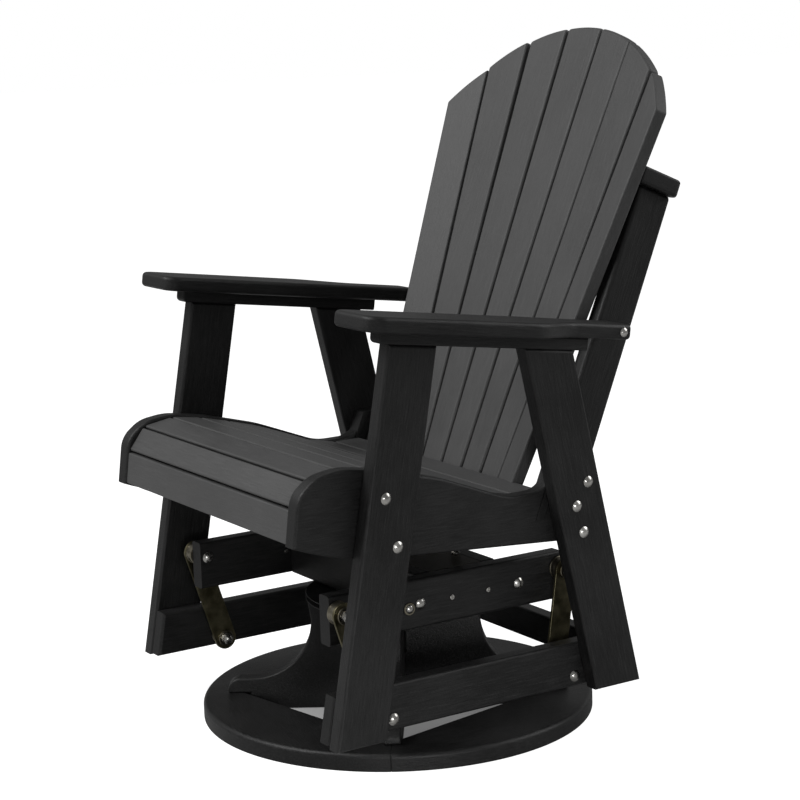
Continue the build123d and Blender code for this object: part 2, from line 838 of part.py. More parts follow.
os.makedirs("parts", exist_ok=True)
for node, solid in nodes.items():
    export_step(solid, f"parts/{node}.step")
print(len(nodes), "pieces")
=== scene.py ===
import json
from math import atan, cos, radians, sin, sqrt

import bpy
from mathutils import Matrix, Vector

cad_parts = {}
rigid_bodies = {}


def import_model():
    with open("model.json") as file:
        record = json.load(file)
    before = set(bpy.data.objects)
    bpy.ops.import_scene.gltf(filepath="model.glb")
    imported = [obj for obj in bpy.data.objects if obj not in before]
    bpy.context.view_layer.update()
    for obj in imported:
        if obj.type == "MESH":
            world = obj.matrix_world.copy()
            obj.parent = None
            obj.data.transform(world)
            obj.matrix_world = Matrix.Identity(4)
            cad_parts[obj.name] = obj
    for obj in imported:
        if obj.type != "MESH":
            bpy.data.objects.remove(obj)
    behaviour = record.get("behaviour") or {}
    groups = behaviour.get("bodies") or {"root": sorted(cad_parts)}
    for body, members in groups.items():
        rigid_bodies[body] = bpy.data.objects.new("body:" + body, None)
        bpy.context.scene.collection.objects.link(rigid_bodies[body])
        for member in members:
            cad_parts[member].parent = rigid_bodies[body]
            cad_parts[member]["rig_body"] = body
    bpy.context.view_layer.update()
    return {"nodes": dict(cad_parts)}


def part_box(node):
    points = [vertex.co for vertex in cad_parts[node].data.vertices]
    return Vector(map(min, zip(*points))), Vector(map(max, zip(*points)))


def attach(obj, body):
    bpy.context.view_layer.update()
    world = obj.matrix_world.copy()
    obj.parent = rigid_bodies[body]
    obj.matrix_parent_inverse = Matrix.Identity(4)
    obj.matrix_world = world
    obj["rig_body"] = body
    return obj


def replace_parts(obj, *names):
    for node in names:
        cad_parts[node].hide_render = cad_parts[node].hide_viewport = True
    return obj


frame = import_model()
nodes = frame["nodes"]
print("frame loaded:", len(nodes), "nodes")


# shader building

class Wire:  # a socket that takes sums like a number
    def __init__(self, shader, socket):
        self.shader = shader
        self.socket = socket

    def maths(self, operation, *values):
        return self.shader.node("Math", {"operation": operation}, values)

    def __add__(self, other):
        return self.maths("ADD", self, other)

    __radd__ = __add__

    def __sub__(self, other):
        return self.maths("SUBTRACT", self, other)

    def __mul__(self, other):
        return self.maths("MULTIPLY", self, other)

    def size(self):
        return self.maths("ABSOLUTE", self)


seedSteps = (1.0, 0.7, 1.3)


def grey(value):
    return (value, value, value, 1)


class Shader:
    def __init__(self, tree):
        self.tree = tree

    def node(self, kind, settings, values, output=0):
        made = self.tree.nodes.new("ShaderNode" + kind)
        for key, value in settings.items():
            setattr(made, key, value)
        pairs = values.items() if isinstance(values, dict) else enumerate(values)
        for key, value in pairs:
            self.feed(made.inputs[key], value)
        return Wire(self, made.outputs[output])

    def vector(self, operation, values, output=0):
        return self.node("VectorMath", {"operation": operation}, values, output)

    def feed(self, socket, value):
        if isinstance(value, Wire):
            self.tree.links.new(value.socket, socket)
        else:
            socket.default_value = value

    def set(self, **values):  # feeds the main shader, its socket names written without spaces
        surface = next(n for n in self.tree.nodes if n.type == "BSDF_PRINCIPLED")
        sockets = {s.name.replace(" ", ""): s for s in surface.inputs}
        for key, value in values.items():
            self.feed(sockets[key], value)

    def objectPlace(self, seed=0.0):  # shifted by a seed, so that no two boards share a pattern
        place = self.node("TexCoord", {}, {}, "Object")
        return self.vector("ADD", {0: place, 1: [seed * step for step in seedSteps]})

    def facing(self, direction):  # how squarely the surface faces along one of the object's ways
        normal = self.node("TexCoord", {}, {}, "Normal")
        axis = Vector(direction).normalized()
        return self.vector("DOT_PRODUCT", {0: normal, 1: axis}, "Value").size()

    def stretched(self, place, direction, along, across):  # drawn out along the grain
        axis = Vector(direction).normalized()
        run = self.vector("DOT_PRODUCT", {0: place, 1: axis}, "Value")
        shift = self.vector("SCALE", {0: axis, "Scale": run * (along - across)})
        base = self.vector("SCALE", {0: place, "Scale": across})
        return self.vector("ADD", {0: base, 1: shift})

    def noise(self, place, scale, detail, roughness):
        values = {"Vector": place, "Scale": scale, "Detail": detail, "Roughness": roughness}
        return self.node("TexNoise", {}, values, "Fac")

    def ramp(self, value, start, end, low=0.0):  # rises from a low grey to white between two values
        made = self.node("ValToRGB", {}, [value])
        elements = made.socket.node.color_ramp.elements
        for element, position, tone in zip(elements, (start, end), (low, 1.0)):
            element.position = position
            element.color = grey(tone)
        return made

    def mix(self, share, first, second):  # sockets 6 and 7 and output 2 are the colours
        return self.node("Mix", {"data_type": "RGBA"}, {0: share, 6: first, 7: second}, 2)

    def bump(self, height, strength, distance, under=None):
        values = {"Strength": strength, "Distance": distance, "Height": height}
        if under:
            values["Normal"] = under
        return self.node("Bump", {}, values)


def newShader(name):
    material = bpy.data.materials.new(name)
    material.use_nodes = True
    return material, Shader(material.node_tree)


# a grain is a set of noises, each with its share in the tint, the roughness and the relief

noiseMiddle = 0.5


def waves(shader, grain, place, direction=None):
    made = {}
    for kind, row in grain.items():
        spot = place
        if "squeeze" in row:
            spot = shader.stretched(place, direction, *row["squeeze"])
        made[kind] = shader.noise(spot, *row["noise"])
    return made


def weighted(grain, made, key, middle=0.0):
    return sum((made[kind] - middle) * row[key] for kind, row in grain.items() if key in row)


def relief(shader, grain, made):
    normal = None
    for kind, row in grain.items():
        if "bump" in row:
            normal = shader.bump(made[kind], *row["bump"], normal)
    return normal


# board finishes

boardTones = {
    "black": {"low": grey(0.0045), "high": grey(0.0190), "streak": grey(0.0400),
              "end": grey(0.0100), "rough": 0.46, "stops": (0.42, 0.58)},
    "slate": {"low": grey(0.058), "high": grey(0.085), "streak": grey(0.118),
              "end": grey(0.052), "rough": 0.50, "stops": (0.37, 0.63)},
    "brown": {"low": (0.022, 0.020, 0.016, 1), "high": (0.048, 0.045, 0.037, 1),
              "streak": (0.070, 0.066, 0.056, 1), "end": grey(0.0200), "rough": 0.50,
              "stops": (0.42, 0.58)},
}
boardLook = {
    "scuffStops": (0.56, 0.74), "scuffShare": 0.45,
    "endStops": (0.86, 0.95), "endShare": 0.6, "endRough": 0.16,
    "ior": 1.49, "specular": 0.34,
}
boardGrain = {
    "cloud": {"noise": (6.0, 3.0, 0.6), "tint": 0.28, "rough": 0.14},
    "fibre": {"noise": (4.5, 4.0, 0.65), "squeeze": (5.0, 90.0), "tint": 0.30, "scuff": 0.7,
              "rough": 0.26, "bump": (0.45, 0.0014)},
    "hair": {"noise": (3.0, 2.0, 0.6), "squeeze": (14.0, 420.0), "tint": 0.20,
             "bump": (0.18, 0.0004)},
    "fleck": {"noise": (620.0, 2.0, 0.6), "tint": 0.22, "scuff": 0.3, "rough": 0.12,
              "bump": (0.42, 0.0004)},
}


def boardFinish(name, tone, direction, seed):
    look, own = boardLook, boardTones[tone]
    material, shader = newShader(tone + "Board_" + name)
    made = waves(shader, boardGrain, shader.objectPlace(seed), direction)
    tint = shader.ramp(weighted(boardGrain, made, "tint"), *own["stops"])
    colour = shader.mix(tint, own["low"], own["high"])
    scuff = shader.ramp(weighted(boardGrain, made, "scuff"), *look["scuffStops"])
    colour = shader.mix(scuff * look["scuffShare"], colour, own["streak"])
    end = shader.ramp(shader.facing(direction), *look["endStops"])  # sawn ends are duller
    colour = shader.mix(end * look["endShare"], colour, own["end"])
    wave = weighted(boardGrain, made, "rough", noiseMiddle)
    rough = own["rough"] + wave + end * look["endRough"]
    shader.set(BaseColor=colour, Roughness=rough, Normal=relief(shader, boardGrain, made),
               IOR=look["ior"], SpecularIORLevel=look["specular"])
    return material


# steel finishes

steelLook = {
    "stainless": {"low": (0.36, 0.35, 0.33, 1), "high": (0.66, 0.65, 0.62, 1), "rough": 0.26},
    "plate": {"low": grey(0.050), "high": grey(0.11), "rough": 0.44},
    "bearing": {"low": (0.17, 0.155, 0.115, 1), "high": (0.36, 0.33, 0.26, 1), "rough": 0.32},
    "zinc": {"low": (0.120, 0.108, 0.060, 1), "high": (0.270, 0.245, 0.155, 1), "rough": 0.38},
}
steelStops = (0.36, 0.66)
steelGrain = {
    "cloud": {"noise": (42.0, 4.0, 0.6), "tint": 0.8, "rough": 0.30},
    "grit": {"noise": (900.0, 2.0, 0.5), "tint": 0.2, "rough": 0.14, "bump": (0.14, 0.0002)},
}


def steelFinish(tone):
    look = steelLook[tone]
    material, shader = newShader(tone + "Steel")
    made = waves(shader, steelGrain, shader.objectPlace())
    tint = shader.ramp(weighted(steelGrain, made, "tint"), *steelStops)
    rough = look["rough"] + weighted(steelGrain, made, "rough", noiseMiddle)
    shader.set(BaseColor=shader.mix(tint, look["low"], look["high"]), Metallic=1.0,
               Roughness=rough, Normal=relief(shader, steelGrain, made))
    return material


steel = {tone: steelFinish(tone) for tone in steelLook}


# each board's grain runs along it

leans = {"front_leg": 10.5, "rear_leg": -12.7, "upright": 22.6, "back_slat": 22.6}
armSlope = radians(7.87)
baseTurn = radians(10.4)
seedStep = 0.37


def grainOf(name):
    for key, lean in leans.items():
        if name.startswith(key):
            return (0, sin(radians(lean)), cos(radians(lean)))
    if name.startswith(("armrest", "arm_cleat")):
        return (0, cos(armSlope), -sin(armSlope))
    if name.startswith(("lower_rail", "seat_rail", "seat_support", "swivel_rail")):
        return (0, 1, 0)
    if name.startswith(("base_board_1", "base_board_3")):
        return (sin(baseTurn), cos(baseTurn), 0)
    if name.startswith(("base_board_2", "base_board_4")):
        return (cos(baseTurn), -sin(baseTurn), 0)
    return (1, 0, 0)


def finishOf(name, seed):
    if name.endswith("bolts") or name == "turntable_balls":
        return steel["stainless"]
    if name.startswith("turntable"):
        return steel["plate"]
    if name.endswith("bearings"):
        return steel["bearing"]
    if name.startswith(("front_arm", "rear_arm")):
        return steel["zinc"]
    tone = "black"
    if name.startswith(("seat_slat", "seat_apron", "back_slat")):
        tone = "slate"
    elif name == "swivel_deck":
        tone = "brown"
    return boardFinish(name, tone, grainOf(name), seed)


for index, (name, node) in enumerate(nodes.items()):
    node.data.materials.clear()
    node.data.materials.append(finishOf(name, seedStep * index))
print("finishes set")


# modelling helpers

edges = {
    "merge": 0.00001, "flat": 0.6, "bevel": 38, "shade": 32, "drawnBevel": 40, "drawnShade": 35,
}


def choose(*things):
    bpy.ops.object.select_all(action="DESELECT")
    for thing in things:
        thing.select_set(True)
    bpy.context.view_layer.objects.active = things[0]


def editAll(thing):
    choose(thing)
    bpy.ops.object.mode_set(mode="EDIT")
    bpy.ops.mesh.select_all(action="SELECT")


def leaveEdit():
    bpy.ops.object.mode_set(mode="OBJECT")


def settle(thing):  # puts its place into its mesh
    choose(thing)
    bpy.ops.object.transform_apply(location=True, rotation=True, scale=True)


def shade(thing, angle):
    choose(thing)
    bpy.ops.object.shade_smooth_by_angle(angle=radians(angle))


def mergedCopy(nodeName, name):
    mesh = nodes[nodeName].data.copy()
    piece = bpy.data.objects.new(name, mesh)
    bpy.context.scene.collection.objects.link(piece)
    editAll(piece)
    bpy.ops.mesh.remove_doubles(threshold=edges["merge"])
    leaveEdit()
    if mesh.has_custom_normals:
        bpy.ops.mesh.customdata_custom_splitnormals_clear()
    return piece


def modify(piece, kind, **values):
    choose(piece)
    bpy.ops.object.modifier_add(type=kind)
    modifier = piece.modifiers[-1]
    for key, value in values.items():
        setattr(modifier, key, value)
    bpy.ops.object.modifier_apply(modifier=modifier.name)


def roundEdges(piece, width, steps, bevelAngle, shadeAngle):
    modify(piece, "BEVEL", width=width, segments=steps, limit_method="ANGLE",
           angle_limit=radians(bevelAngle))
    shade(piece, shadeAngle)
    modify(piece, "WEIGHTED_NORMAL", keep_sharp=True)


def bodyOf(nodeName):
    return nodes[nodeName]["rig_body"]


# boards and plates whose sharp edges are eased

easing = {
    "pedestal_board": {"width": 0.0035, "steps": 4},
    "base_board": {"width": 0.0012, "steps": 3},
    "swivel_front_board": {"width": 0.0030, "steps": 4},
    "swivel_rear_board": {"width": 0.0030, "steps": 4},
    "swivel_deck": {"width": 0.0016, "steps": 3},
    "bearing_board": {"width": 0.0016, "steps": 3},
    "arm_cleat": {"width": 0.0030, "steps": 4},
    "seat_support": {"width": 0.0016, "steps": 3},
    "front_arm": {"width": 0.0009, "steps": 3},
    "rear_arm": {"width": 0.0009, "steps": 3},
    "turntable_lower": {"width": 0.0006, "steps": 3},
    "turntable_upper": {"width": 0.0006, "steps": 3},
    "seat_slat": {"width": 0.0010, "steps": 2},
    "seat_apron": {"width": 0.0010, "steps": 2},
    "lower_back_rail": {"width": 0.0025, "steps": 3},
}


def ease(nodeName, width, steps):
    piece = mergedCopy(nodeName, nodeName + "_eased")
    editAll(piece)
    bpy.ops.mesh.dissolve_limited(angle_limit=radians(edges["flat"]))
    leaveEdit()
    roundEdges(piece, width, steps, edges["bevel"], edges["shade"])
    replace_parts(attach(piece, bodyOf(nodeName)), nodeName)


for nodeName in list(nodes):
    for key, look in easing.items():
        if nodeName.startswith(key):
            ease(nodeName, look["width"], look["steps"])
print("edges eased")


# boards drawn in outline

def outlined(name, corners, look):  # flat board whose face is at zero height
    bpy.ops.object.select_all(action="DESELECT")
    bpy.ops.mesh.primitive_circle_add(vertices=len(corners), fill_type="NGON")
    piece = bpy.context.object
    piece.name = name
    for vertex, (across, along) in zip(piece.data.vertices, corners):
        vertex.co = (across, along, 0)
    editAll(piece)
    down = {"value": (0, 0, -look["thickness"])}
    bpy.ops.mesh.extrude_region_move(TRANSFORM_OT_translate=down)
    bpy.ops.mesh.select_all(action="SELECT")
    bpy.ops.mesh.normals_make_consistent(inside=False)
    leaveEdit()
    roundEdges(piece, look["rounding"], look["steps"], edges["drawnBevel"], edges["drawnShade"])
    return piece


def putInPlace(piece, nodeName, place):
    piece.matrix_world = place
    settle(piece)
    piece.data.materials.clear()
    piece.data.materials.append(nodes[nodeName].data.materials[0])
    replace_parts(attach(piece, bodyOf(nodeName)), nodeName)


def arc(centre, radius, start, end, steps):
    turns = [radians(start + (end - start) * step / steps) for step in range(steps + 1)]
    return [(centre[0] + radius * cos(turn), centre[1] + radius * sin(turn)) for turn in turns]


# the bowed back, drawn on a leaning plane: across, up along it and out from it

backLook = {
    "foot": (0, 0.1243, 0.4121), "lean": 22.6, "pairs": 3, "thickness": 0.022,
    "pitch": 0.0597, "spread": 0.0466, "gap": 0.0040,
    "tail": -0.062, "top": 0.791, "arch": 0.365, "archSteps": 14, "archTries": 24,
    "bowFoot": 0.0115, "bowHead": 0.0162, "headAt": 0.5185, "rounding": 0.0055, "steps": 5,
}
outerSlat = {  # the last slat on each side is turned further than the rest
    "seam": 0.1870, "seamAt": 0.306, "seamSpread": 0.1225, "width": 0.0700,
    "widthSpread": 0.020, "turn": 15.5, "tilt": -1.37, "lift": 0.0173,
}
backLean = radians(backLook["lean"])
backUp = Vector((0, sin(backLean), cos(backLean)))
backOut = Vector((0, -cos(backLean), sin(backLean)))
backTurn = Matrix((Vector((1, 0, 0)), backUp, backOut)).transposed().to_4x4()
backPlane = Matrix.Translation(backLook["foot"]) @ backTurn


def slatBend(index):  # pivot, turn, tilt and lift of a slat on the left half
    look, outer = backLook, outerSlat
    if index == look["pairs"]:
        return outer["seam"], radians(outer["turn"]), radians(outer["tilt"]), outer["lift"]
    bow = (index / look["pairs"]) ** 2
    pivot = index * (look["pitch"] + look["spread"] * look["headAt"] / 2)
    turn = atan((look["bowFoot"] + look["bowHead"]) * bow / pivot) if index else 0
    tilt = atan((look["bowHead"] - look["bowFoot"]) * bow / look["headAt"])
    return pivot, turn, tilt, look["bowFoot"] * bow


def slatEdge(index, side, run):  # how far out an edge of a slat is at a height
    if index == backLook["pairs"]:
        beyond = run - outerSlat["seamAt"]
        width = outerSlat["width"] + outerSlat["widthSpread"] * beyond
        return outerSlat["seam"] + outerSlat["seamSpread"] * beyond + (width if side > 0 else 0)
    pitch = backLook["pitch"] + backLook["spread"] * run
    return index * pitch + side * (pitch - backLook["gap"]) / 2


def crown(index, x):  # height of the arch over a place on a slat that isn't bent yet
    pivot, turn = slatBend(index)[:2]
    placed = pivot + (x - pivot) * cos(turn)
    return backLook["top"] - backLook["arch"] + sqrt(backLook["arch"] ** 2 - placed ** 2)


def slatCorners(index):
    look = backLook
    ends = []
    for side in (1, -1):
        run = look["top"] - look["arch"] / 2
        for _ in range(look["archTries"]):  # closes in on where the edge meets the arch
            run = crown(index, slatEdge(index, side, run))
        ends.append(slatEdge(index, side, run))
    corners = [(slatEdge(index, side, look["tail"]), look["tail"]) for side in (-1, 1)]
    for step in range(look["archSteps"] + 1):
        x = ends[0] + (ends[1] - ends[0]) * step / look["archSteps"]
        corners.append((x, crown(index, x)))
    return corners


def slatPlace(index, side):
    pivot, turn, tilt, lift = slatBend(index)
    about = Matrix.Translation((side * pivot, 0, 0))
    turned = about @ Matrix.Rotation(-side * turn, 4, "Y") @ about.inverted()
    return backPlane @ Matrix.Translation((0, 0, lift)) @ Matrix.Rotation(tilt, 4, "X") @ turned


def makeBackSlats():
    for index in range(backLook["pairs"] + 1):
        corners = slatCorners(index)
        for side in (1, -1) if index else (1,):
            nodeName = "back_slat_" + str(backLook["pairs"] + 1 + side * index)
            flipped = [(side * x, run) for x, run in corners]
            piece = outlined(nodeName + "_board", flipped, backLook)
            putInPlace(piece, nodeName, slatPlace(index, side))


makeBackSlats()

headRail = {
    "bottom": 0.5185, "thickness": 0.029, "rear": -0.077, "half": 0.2895, "gap": 0.0002,
    "corner": 0.014, "cornerSteps": 6, "rounding": 0.005, "steps": 4,
}


def slatRear(run):  # rear corners of the slats at a height, from the middle to the left
    points = []
    for index in range(backLook["pairs"] + 1):
        place = backPlane.inverted() @ slatPlace(index, 1)
        for side in (-1, 1) if index else (1,):
            corner = (slatEdge(index, side, run), run, -backLook["thickness"])
            point = place @ Vector(corner)
            points.append((point.x, point.z))
    return points


def makeHeadRail():
    look = headRail
    half, corner, rear = look["half"], look["corner"], look["rear"]
    level = look["bottom"] + look["thickness"] / 2
    front = [(min(x, half), out - look["gap"]) for x, out in slatRear(level)]
    bend = arc((half - corner, rear + corner), corner, 0, -90, look["cornerSteps"])
    right = front + bend
    left = [(-x, out) for x, out in reversed(right)]
    piece = outlined("head_rail_board", right + left, look)
    lying = Matrix(((-1, 0, 0), (0, 0, 1), (0, 1, 0))).to_4x4()
    top = Matrix.Translation((0, look["bottom"] + look["thickness"], 0))
    putInPlace(piece, "head_rail", backPlane @ top @ lying)


makeHeadRail()

uprightLook = {
    "bottom": -0.0138, "top": 0.5183, "front": 0.0045, "frontTop": -0.0032, "rear": -0.071,
    "inner": 0.2465, "thickness": 0.029, "rounding": 0.0065, "steps": 5, "spacerTop": 0.4595,
}


def makeSpacer(nodeName):  # the solid's foot, which fills the rail's notch beside the leg
    spacer = mergedCopy(nodeName, nodeName + "_spacer")
    editAll(spacer)
    cut = (0, 0, uprightLook["spacerTop"])
    bpy.ops.mesh.bisect(plane_co=cut, plane_no=(0, 0, 1), use_fill=True, clear_outer=True)
    leaveEdit()
    shade(spacer, edges["drawnShade"])
    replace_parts(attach(spacer, bodyOf(nodeName)), nodeName)


def makeUprights():
    look = uprightLook
    corners = [(-look["front"], look["bottom"]), (-look["rear"], look["bottom"]),
               (-look["rear"], look["top"]), (-look["frontTop"], look["top"])]
    onEdge = Matrix(((0, 0, 1), (0, 1, 0), (-1, 0, 0))).to_4x4()
    outer = look["inner"] + look["thickness"]
    for nodeName, face in (("upright_left", outer), ("upright_right", -look["inner"])):
        piece = outlined(nodeName + "_board", corners, look)
        putInPlace(piece, nodeName, backPlane @ Matrix.Translation((face, 0, 0)) @ onEdge)
        makeSpacer(nodeName)


makeUprights()
print("back made")


# armrests

armrestLook = {
    "front": -0.27485, "height": 0.7004, "top": 0.0455, "thickness": 0.025,
    "inner": 0.268, "outer": 0.388, "tailInner": 0.2758, "tailOuter": 0.3455,
    "length": 0.5228, "neckStart": 0.3037, "neckLength": 0.112, "innerDelay": 0.029,
    "innerCorner": 0.026, "outerCorner": 0.030, "cornerSteps": 8, "neckSteps": 12,
    "rounding": 0.007, "steps": 5,
}


def neck(start, end, run):  # a soft bend from one width to another
    length, steps = armrestLook["neckLength"], armrestLook["neckSteps"]
    shares = [step / steps for step in range(steps + 1)]
    return [(start + (end - start) * t * t * (3 - 2 * t), run + length * t) for t in shares]


def makeArmrests():
    look = armrestLook
    inner, outer, steps = look["inner"], look["outer"], look["cornerSteps"]
    small, large = look["innerCorner"], look["outerCorner"]
    corners = arc((inner + small, small), small, 180, 270, steps)
    corners += arc((outer - large, large), large, 270, 360, steps)
    corners += neck(outer, look["tailOuter"], look["neckStart"])
    corners += [(look["tailOuter"], look["length"]), (look["tailInner"], look["length"])]
    innerStart = look["neckStart"] + look["innerDelay"]
    corners += reversed(neck(inner, look["tailInner"], innerStart))
    front = Matrix.Translation((0, look["front"], look["height"]))
    top = Matrix.Translation((0, 0, look["top"]))
    place = front @ Matrix.Rotation(-armSlope, 4, "X") @ top
    for nodeName, side in (("armrest_left", 1), ("armrest_right", -1)):
        flipped = [(side * x, run) for x, run in corners]
        putInPlace(outlined(nodeName + "_board", flipped, look), nodeName, place)


makeArmrests()
print("armrests made")


# turned steel parts

turning = {"merge": 0.000002, "shade": 35, "ringShade": 40, "threadShade": 20}


def turned(name, rings, steps, hollow=False):  # rings of radius and height, from one circle
    bpy.ops.object.select_all(action="DESELECT")
    radius, height = rings[0]
    place = (0, 0, height)
    bpy.ops.mesh.primitive_circle_add(vertices=steps, radius=radius, location=place)
    piece = bpy.context.object
    piece.name = name
    bpy.ops.object.mode_set(mode="EDIT")
    bpy.ops.mesh.select_all(action="SELECT")
    for nextRadius, nextHeight in rings[1:]:
        rise = {"value": (0, 0, nextHeight - height)}
        bpy.ops.mesh.extrude_region_move(TRANSFORM_OT_translate=rise)
        spread, middle = nextRadius / radius, (0, 0, nextHeight)
        bpy.ops.transform.resize(value=(spread, spread, 1), center_override=middle)
        radius, height = nextRadius, nextHeight
    bpy.ops.mesh.select_all(action="SELECT")
    if hollow:
        bpy.ops.mesh.remove_doubles(threshold=turning["merge"])
    else:
        bpy.ops.mesh.fill_holes(sides=0)
    bpy.ops.mesh.normals_make_consistent(inside=False)
    leaveEdit()
    settle(piece)
    return piece


def finishTurned(piece, tone, angle=turning["shade"]):
    shade(piece, angle)
    piece.data.materials.clear()
    piece.data.materials.append(steel[tone])
    return piece


boltLook = {"steps": 36, "domeSteps": 7, "domeShare": 0.97, "rim": 0.0006, "tip": 0.0008}


def domeRings(radius, height, base):
    ball = (radius ** 2 + height ** 2) / (2 * height)
    steps = boltLook["domeSteps"]
    rings = []
    for index in range(1, steps + 1):
        ringRadius = radius * (1 - boltLook["domeShare"] * index / steps)
        rings.append((ringRadius, base + height - ball + sqrt(ball ** 2 - ringRadius ** 2)))
    return rings


def carriageBolt(shank, length, head, rise):
    rim, tip = boltLook["rim"], boltLook["tip"]
    rings = [(shank - tip, -length), (shank, tip - length), (shank, -rim), (shank + rim, 0)]
    rings += [(head - rim / 2, 0), (head, rim / 2), (head, rim)]
    rings += domeRings(head, rise - rim, rim)
    return finishTurned(turned("bolt", rings, boltLook["steps"]), "stainless")


screwLook = {
    "steps": 24, "rim": 0.0004, "tip": 0.0004, "core": 0.7, "taper": 3,
    "head": ((1.0, 0.5), (0.93, 0.8), (0.78, 1.0)),
    "drive": {"vertices": 4, "radius": 0.0019, "depth": 0.0024},
}


def panScrew(shank, length, head, rise):  # shallow round head with a square drive
    look = screwLook
    core, rim = shank * look["core"], look["rim"]
    rings = [(look["tip"], -length), (core, look["taper"] * shank - length), (core, -rim)]
    rings += [(shank, 0), (head - rim, 0), (head, rim)]
    rings += [(head * wide, rise * tall) for wide, tall in look["head"]]
    screw = turned("screw", rings, look["steps"])
    bpy.ops.object.select_all(action="DESELECT")
    bpy.ops.mesh.primitive_cylinder_add(location=(0, 0, rise), **look["drive"])
    drive = bpy.context.object
    modify(screw, "BOOLEAN", object=drive, operation="DIFFERENCE", solver="EXACT")
    bpy.data.objects.remove(drive)
    return finishTurned(screw, "stainless")


nutLook = {
    "steps": 36, "sides": 6, "flange": 0.0011, "hexShare": 0.96, "hexRise": 0.0050,
    "bevel": 0.0005, "domeShare": 0.74,
}


def cappedNut(radius, height):  # washer, hexagon and dome, its seat at the origin
    look = nutLook
    flange, bevel = look["flange"], look["bevel"]
    washer = turned("washer", [
        (radius - bevel, 0), (radius, bevel / 2),
        (radius, flange - bevel / 2), (radius - bevel, flange),
    ], look["steps"])
    hexRadius = radius * look["hexShare"]
    top = flange + look["hexRise"]
    hexagon = turned("hexagon", [
        (hexRadius - bevel, flange), (hexRadius, flange + bevel),
        (hexRadius, top - 2 * bevel), (hexRadius - 2 * bevel, top),
    ], look["sides"])
    domeRadius, domeFoot = radius * look["domeShare"], top + bevel
    domeWall = [(domeRadius, top - bevel), (domeRadius, domeFoot)]
    rings = domeWall + domeRings(domeRadius, height - top - bevel, domeFoot)
    dome = turned("dome", rings, look["steps"])
    choose(hexagon, washer, dome)
    bpy.ops.object.join()
    return finishTurned(hexagon, "stainless")


def deckNut(radius, height):
    bevel = nutLook["bevel"]
    rings = [(radius - bevel, 0), (radius, bevel), (radius, height - bevel),
             (radius - bevel, height)]
    return finishTurned(turned("nut", rings, nutLook["sides"]), "stainless")


studLook = {"thread": 0.0012, "depth": 0.00045, "threaded": 0.017, "steps": 24}


def threadedStud(radius, length):
    pitch, depth = studLook["thread"], studLook["depth"]
    start = length - studLook["threaded"]
    rings = [(radius - depth, 0), (radius, depth), (radius, start)]
    for index in range(int(studLook["threaded"] / pitch) - 1):
        rings.append((radius - depth, start + pitch * (index + 0.5)))
        rings.append((radius, start + pitch * (index + 1)))
    rings.append((radius - 2 * depth, length))
    stud = turned("stud", rings, studLook["steps"])
    return finishTurned(stud, "stainless", turning["threadShade"])


bearingLook = {
    "steps": 48, "edge": 0.0012, "groove": 0.0007, "land": 0.0036, "lip": 0.0020,
    "neck": 0.009, "beyond": 0.004,
}


def bearing(bore, broad, length, neckLength):  # broad end above the origin, neck below
    edge, groove, land, lip, neckRadius = (
        bearingLook[key] for key in ("edge", "groove", "land", "lip", "neck"))
    rings = [
        (bore, -neckLength), (neckRadius - edge / 2, -neckLength),
        (neckRadius, edge / 2 - neckLength), (neckRadius, 0),
        (broad - edge, 0), (broad, edge), (broad, land), (broad - groove, land + groove),
        (broad - groove, length - land - groove), (broad, length - land),
        (broad, length - edge), (broad - edge, length), (bore + lip, length),
        (bore + lip - groove, length - groove), (bore, length - groove), (bore, -neckLength),
    ]
    piece = turned("bearing", rings, bearingLook["steps"], hollow=True)
    return finishTurned(piece, "bearing", turning["ringShade"])


collarLook = {"bore": 0.00905, "radius": 0.0145, "thickness": 0.0034, "edge": 0.0008}


def ring(bore, radius, thickness):
    edge = collarLook["edge"]
    rings = [(bore, 0), (radius - edge, 0), (radius, edge), (radius, thickness - edge),
             (radius - edge, thickness), (bore, thickness), (bore, 0)]
    piece = turned("ring", rings, bearingLook["steps"], hollow=True)
    return finishTurned(piece, "bearing", turning["ringShade"])


# places of the fasteners, read from the solids that they stand for

def solidsOf(nodeName):
    whole = mergedCopy(nodeName, "whole")
    editAll(whole)
    bpy.ops.mesh.separate(type="LOOSE")
    leaveEdit()
    parts = list(bpy.context.selected_objects)
    clouds = [[v.co.copy() for v in part.data.vertices] for part in parts]
    for part in parts:
        bpy.data.objects.remove(part)
    return clouds


measuring = {"round": 0.002, "rim": 0.995}


def measure(points):  # the axis, its middle, and where the widest ring and both ends are
    low = Vector([min(p[k] for p in points) for k in range(3)])
    high = Vector([max(p[k] for p in points) for k in range(3)])
    middle = (low + high) / 2
    span = high - low
    axis = 2 if abs(span.x - span.y) < measuring["round"] else 0
    across = [k for k in range(3) if k != axis]
    radii = [sqrt(sum((p[k] - middle[k]) ** 2 for k in across)) for p in points]
    widest = max(radii)
    wide = [p[axis] for p, r in zip(points, radii) if r > widest * measuring["rim"]]
    return {"axis": axis, "low": low, "high": high, "middle": middle, "span": span[axis],
            "radius": widest, "narrow": min(radii), "wideLow": min(wide), "wideHigh": max(wide)}


def stand(piece, axis, sign, place):  # turns a piece built along Z and moves it to its place
    if axis == 0:
        piece.rotation_euler = (0, sign * radians(90), 0)
    piece.location = place
    settle(piece)


counts = {}


def fasten(piece, kind, body, nodeName=None):
    counts[kind] = counts.get(kind, 0) + 1
    piece.name = kind + "_" + str(counts[kind])
    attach(piece, body)
    if nodeName:
        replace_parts(piece, nodeName)


boltSizes = {
    "nutSpan": 0.012, "shank": 0.004, "pivotShank": 0.005, "pivotRise": 0.0052,
    "screwRadius": 0.006, "screwShank": 0.0025,
}


